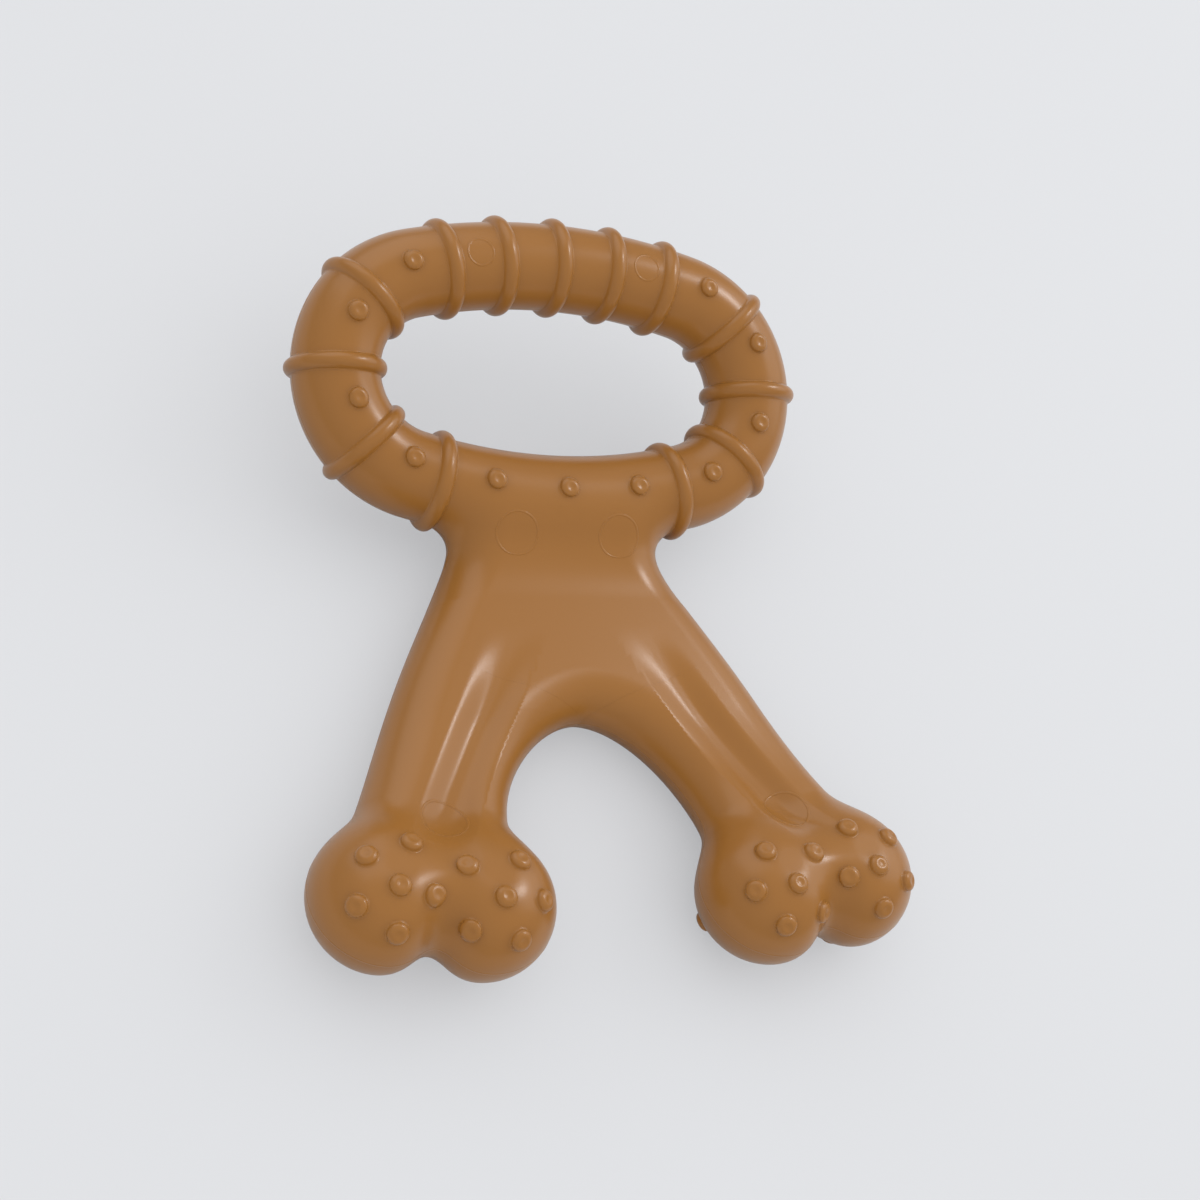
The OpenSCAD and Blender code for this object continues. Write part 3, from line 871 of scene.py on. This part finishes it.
def sweep(before, after):
    """Rays whose places and directions pass evenly from the last ray before them to the first one after."""
    t = np.linspace(0, 1, SWEEP_RAYS + 2)[1:-1, None]
    base, out = (first[-1] + t * (last[0] - first[-1]) for first, last in zip(before, after))
    return base, out / np.linalg.norm(out, axis=1, keepdims=True)


def flank_rays(toy):
    """Rays square to the flank's mean slope, from a little inside it."""
    s = np.linspace(*FLANK_RAYS)
    lean = np.array([1, toy.flank_slope]) / math.hypot(1, toy.flank_slope)
    flank = toy.flank_line(s) - lean * PARTING_INSET
    return flank, np.broadcast_to(lean, flank.shape)


def arch_rays(toy):
    """Rays square to the arch's superellipse, towards the gap, from a little inside the nylon."""
    turn = np.linspace(*ARCH_RAYS)
    out = -(circle(turn) ** (2 - 2 / toy.arch_round)) / [toy.arch_half_w, toy.arch_h]
    out = out / np.linalg.norm(out, axis=1, keepdims=True)
    return toy.arch_line(turn) - out * PARTING_INSET, out


def outer_path(toy):
    """Right half of the outer outline, from the ring's top down the flank, round the lobes and up the arch.

    Gives places inside the nylon and the directions in which the outline is met from them."""
    outer = fan(toy.outer_at, OUTER_RAYS)
    inner = fan(toy.inner_at, INNER_RAYS)
    arch = arch_rays(toy)
    stretches = (
        centre_line(toy, "top_bar", np.linspace(*TOP_RAYS)),
        centre_line(toy, "right_bend", np.linspace(*BEND_RAYS)[1:]),
        centre_line(toy, "lower_bar", np.linspace(*LOW_RAYS)[1:]),
        fan(NOTCH_FROM, NOTCH_RAYS),
        flank_rays(toy),
        outer,
        sweep(outer, inner),
        inner,
        sweep(inner, arch),
        arch,
    )
    return tuple(np.concatenate(arrays) for arrays in zip(*stretches))


def hole_path(toy):
    """The ring's hole, once round: places on the centre line and the directions to its middle."""
    parts = (("top_bar", 1), ("right_bend", -1), ("lower_bar", -1), ("left_bend", 1))
    t = np.linspace(-1, 1, HOLE_RAYS)[1:]
    base, out = zip(*(centre_line(toy, part, way * t) for part, way in parts))
    return np.concatenate(base), -np.concatenate(out)


def parting_ridge(toy, name, base, out):
    """The fine ridge of the mould's parting line: a low bump on the mid surface, along a closed outline."""
    h, height = ridge_profile(PARTING_H)

    def points(r):
        return base[:, 0] + out[:, 0] * r, base[:, 1] + out[:, 1] * r, h[:, None] + 0 * r

    low = np.zeros((h.size, len(base)))
    r = crossing(lambda t: toy.skin(*points(t)) - height[:, None], low, low + PARTING_SEARCH)
    add_bead(toy, name, points(r))


class CHEWTOY_OT_mould_marks(bpy.types.Operator):
    """Builds the fine ridges that the mould leaves: ejector marks and the parting line"""

    bl_idname = "chewtoy.mould_marks"
    bl_label = "Mould Marks"

    def execute(self, context):
        toy = Moulding(context.scene.chew_toy)
        for name, x, s, radius in MARKS:
            for word, side in SIDES.items():
                mark(toy, f"{word}_{name}", x * side, s, radius)
        base, out = outer_path(toy)
        mirror = np.array([-1, 1])
        base = np.concatenate([base, base[-2:0:-1] * mirror])
        out = np.concatenate([out, out[-2:0:-1] * mirror])
        parting_ridge(toy, "outer_parting_line", base, out)
        parting_ridge(toy, "hole_parting_line", *hole_path(toy))
        return {"FINISHED"}


# Nylon: noises by output, scale, detail and roughness, their scales, the grain's depth in metres, the sheen
NOISES = (("Height", "Pebbles Per Metre", 1.5, 0.45), ("Clouds", "Clouds Per Metre", 2.0, 0.5))
SCALES = {"Pebbles Per Metre": 2600.0, "Clouds Per Metre": 28.0}
GRAIN_DEPTH = 0.00005
SHEEN = 0.46


def set_inputs(node, values):
    """Sets a node's inputs by their names."""
    for name, value in values.items():
        node.inputs[name].default_value = value


def grain_group():
    """Fine moulded grain, shared by finishes: a height from small rounded pebbles, and a faint cloud mask."""
    group = bpy.data.node_groups.new("Moulded Grain", "ShaderNodeTree")
    group.interface.new_socket("Vector", in_out="INPUT", socket_type="NodeSocketVector")
    for output, scale, _, _ in NOISES:
        group.interface.new_socket(scale, in_out="INPUT", socket_type="NodeSocketFloat")
        group.interface.new_socket(output, in_out="OUTPUT", socket_type="NodeSocketFloat")
    inside = group.nodes.new("NodeGroupInput")
    outside = group.nodes.new("NodeGroupOutput")
    for output, scale, detail, roughness in NOISES:
        noise = group.nodes.new("ShaderNodeTexNoise")
        set_inputs(noise, {"Detail": detail, "Roughness": roughness})
        group.links.new(inside.outputs["Vector"], noise.inputs["Vector"])
        group.links.new(inside.outputs[scale], noise.inputs["Scale"])
        group.links.new(noise.outputs["Fac"], outside.inputs[output])
    return group


def nylon_material(finish):
    """Satin nylon: two close browns mixed by soft clouds, with a fine grain on the surface."""
    material = bpy.data.materials.new(FINISH)
    material.use_nodes = True
    nodes = material.node_tree.nodes
    links = material.node_tree.links
    shader = nodes["Principled BSDF"]
    set_inputs(shader, {"Roughness": finish.roughness, "Specular IOR Level": SHEEN})
    where = nodes.new("ShaderNodeTexCoord")
    grain = nodes.new("ShaderNodeGroup")
    grain.node_tree = grain_group()
    set_inputs(grain, SCALES)
    links.new(where.outputs["Object"], grain.inputs["Vector"])
    mix = nodes.new("ShaderNodeMix")
    mix.data_type = "RGBA"
    set_inputs(mix, {"A": (*finish.deep, 1), "B": (*finish.base, 1)})
    links.new(grain.outputs["Clouds"], mix.inputs["Factor"])
    links.new(mix.outputs["Result"], shader.inputs["Base Color"])
    bump = nodes.new("ShaderNodeBump")
    set_inputs(bump, {"Strength": finish.grain, "Distance": GRAIN_DEPTH})
    links.new(grain.outputs["Height"], bump.inputs["Height"])
    links.new(bump.outputs["Normal"], shader.inputs["Normal"])
    return material


class CHEWTOY_OT_finish(bpy.types.Operator):
    """Makes the satin nylon that all the toy's pieces wear"""

    bl_idname = "chewtoy.finish"
    bl_label = "Nylon Finish"

    def execute(self, context):
        nylon_material(context.scene.chew_toy.finish)
        return {"FINISHED"}


# Camera: place in mm in the row frame, the picture's right and up, sensor width in mm, near depth in metres
CAMERA_AT = (-155.06, -164.73, 317.66)
CAMERA_RIGHT = (0.9064, -0.183, 0.3807)
CAMERA_UP = (-0.0185, 0.8832, 0.4685)
SENSOR_W = 36
CLIP_START = 0.01
# Floor: half its side in metres, roughness, share of even glow for the camera, and share of light for the toy
FLOOR_HALF = 3.0
FLOOR_ROUGHNESS = 0.9
FLOOR_GLOW = 0.55
FLOOR_BOUNCE = 0.15
# Sky: its light, and how bright the sheen shows it
SKY = 1.12
SKY_IN_SHEEN = 0.24
# Lamps: bearing and rise in degrees, distance, width and height in metres, radiance, and if the skin is lit.
# They face the toy's middle height.
LAMPS = {
    "right_softbox": (15, 30, 1.0, 0.8, 0.8, 0.95, True),
    "right_bulb": (22, 47, 0.95, 0.18, 0.18, 18.0, False),
    "back_softbox": (105, 40, 1.0, 0.9, 0.9, 0.9, False),
}
TOY_MIDDLE = 0.015


def placed(right, up, back, at):
    """A matrix from an object's own three axes and its place in metres."""
    matrix = np.eye(4)
    matrix[:3, :4] = np.stack([right, up, back, at], 1)
    return Matrix(matrix.tolist())


def aim(eye, right, up):
    """A camera's matrix from its place and its picture's right and up, made square to each other."""
    right = np.array(right) / np.linalg.norm(right)
    back = np.cross(right, up)
    back = back / np.linalg.norm(back)
    return placed(right, np.cross(back, right), back, np.array(eye) * MM)


def by_ray(tree, kind, others, own):
    """A socket with one value for rays of a kind, such as camera rays, and another for all others."""
    ray = tree.nodes.new("ShaderNodeLightPath")
    level = tree.nodes.new("ShaderNodeMapRange")
    set_inputs(level, {"To Min": others, "To Max": own})
    tree.links.new(ray.outputs[kind], level.inputs["Value"])
    return level.outputs["Result"]


def mix_by_ray(tree, kind, share, others, own, end):
    """Links to the end socket a shader for most rays, mixed with a share of another for rays of a kind."""
    mix = tree.nodes.new("ShaderNodeMixShader")
    tree.links.new(by_ray(tree, kind, 0, share), mix.inputs["Fac"])
    tree.links.new(others, mix.inputs[1])
    tree.links.new(own, mix.inputs[2])
    tree.links.new(mix.outputs["Shader"], end)


def floor_material(stage):
    """A plain pale floor that lights the toy less than its colour would.

    The camera sees its shadows softened by an even glow of its own colour."""
    material = bpy.data.materials.new("floor")
    material.use_nodes = True
    tree = material.node_tree
    tone = tree.nodes.new("ShaderNodeVectorMath")
    tone.operation = "SCALE"
    tone.inputs[0].default_value = stage.floor
    tree.links.new(by_ray(tree, "Is Diffuse Ray", 1, FLOOR_BOUNCE), tone.inputs["Scale"])
    shader = tree.nodes["Principled BSDF"]
    shader.inputs["Roughness"].default_value = FLOOR_ROUGHNESS
    tree.links.new(tone.outputs["Vector"], shader.inputs["Base Color"])
    glow = tree.nodes.new("ShaderNodeEmission")
    glow.inputs["Color"].default_value = (*stage.floor, 1)
    end = tree.nodes["Material Output"].inputs["Surface"]
    mix_by_ray(tree, "Is Camera Ray", FLOOR_GLOW, shader.outputs["BSDF"], glow.outputs["Emission"], end)
    return material


def lamp(name, bearing, rise, distance, width, height, radiance, lights_skin):
    """A soft lamp that faces the toy, placed by its bearing from +X and its rise over the floor, in degrees.

    An even lamp of that radiance sends out pi times its area in watts. A lamp that doesn't light the skin
    shows in its sheen only."""
    light = bpy.data.lights.new(name, "AREA")
    light.shape = "RECTANGLE"
    light.size = width
    light.size_y = height
    light.energy = radiance * math.pi * width * height
    turn = math.radians(bearing)
    lift = math.radians(rise)
    back = np.array([math.cos(lift) * math.cos(turn), math.cos(lift) * math.sin(turn), math.sin(lift)])
    right = np.array([-math.sin(turn), math.cos(turn), 0])
    holder = bpy.data.objects.new(name, light)
    holder.matrix_world = placed(right, np.cross(back, right), back, back * distance + [0, 0, TOY_MIDDLE])
    holder.visible_diffuse = lights_skin
    bpy.context.scene.collection.objects.link(holder)


def sky(stage):
    """An even white sky, which the nylon's sheen shows darker, as the unlit side of a studio.

    The camera sees it in the floor's colour."""
    world = bpy.data.worlds.new("studio")
    world.use_nodes = True
    tree = world.node_tree
    white = tree.nodes["Background"]
    white.inputs["Color"].default_value = (1, 1, 1, 1)
    tree.links.new(by_ray(tree, "Is Glossy Ray", SKY, SKY_IN_SHEEN), white.inputs["Strength"])
    seen = tree.nodes.new("ShaderNodeBackground")
    seen.inputs["Color"].default_value = (*stage.floor, 1)
    end = tree.nodes["World Output"].inputs["Surface"]
    mix_by_ray(tree, "Is Camera Ray", 1, white.outputs["Background"], seen.outputs["Background"], end)
    return world


class CHEWTOY_OT_stage(bpy.types.Operator):
    """Sets the floor, the soft lamps, the sky and the camera"""

    bl_idname = "chewtoy.stage"
    bl_label = "Stage"

    def execute(self, context):
        stage = context.scene.chew_toy.stage
        scene = context.scene
        mesh = bpy.data.meshes.new("floor")
        corners = np.array([[-1, -1, 0], [1, -1, 0], [1, 1, 0], [-1, 1, 0]]) * FLOOR_HALF
        mesh.from_pydata(corners.tolist(), [], [[0, 1, 2, 3]])
        mesh.materials.append(floor_material(stage))
        floor = bpy.data.objects.new("floor", mesh)
        scene.collection.objects.link(floor)
        for name, values in LAMPS.items():
            lamp(name, *values)
        scene.world = sky(stage)
        data = bpy.data.cameras.new("camera")
        data.lens = stage.lens
        data.sensor_width = SENSOR_W
        data.clip_start = CLIP_START
        camera = bpy.data.objects.new("camera", data)
        camera.matrix_world = aim(CAMERA_AT, CAMERA_RIGHT, CAMERA_UP)
        scene.collection.objects.link(camera)
        scene.camera = camera
        scene.view_settings.view_transform = "Standard"
        return {"FINISHED"}


OPERATORS = (
    CHEWTOY_OT_finish,
    CHEWTOY_OT_ring,
    CHEWTOY_OT_yoke,
    CHEWTOY_OT_lobes,
    CHEWTOY_OT_ribs,
    CHEWTOY_OT_nubs,
    CHEWTOY_OT_mould_marks,
    CHEWTOY_OT_stage,
)


class CHEWTOY_PT_panel(bpy.types.Panel):
    """Lists the toy's pieces and its stage"""

    bl_idname = "CHEWTOY_PT_panel"
    bl_label = "Chew Toy"
    bl_space_type = "VIEW_3D"
    bl_region_type = "UI"
    bl_category = "Chew Toy"

    def draw(self, context):
        for operator in OPERATORS:
            self.layout.operator(operator.bl_idname)


GROUPS = (
    ChewToyRing,
    ChewToyYoke,
    ChewToyKnuckles,
    ChewToyBend,
    ChewToyFinish,
    ChewToyStage,
    ChewToySettings,
)
CLASSES = GROUPS + OPERATORS + (CHEWTOY_PT_panel,)


def register():
    for cls in CLASSES:
        bpy.utils.register_class(cls)
    bpy.types.Scene.chew_toy = PointerProperty(type=ChewToySettings)


def unregister():
    del bpy.types.Scene.chew_toy
    for cls in reversed(CLASSES):
        bpy.utils.unregister_class(cls)


def main():
    """Builds every piece and the stage."""
    register()
    for operator in OPERATORS:
        group, name = operator.bl_idname.split(".")
        getattr(getattr(bpy.ops, group), name)()


if __name__ == "__main__":
    main()
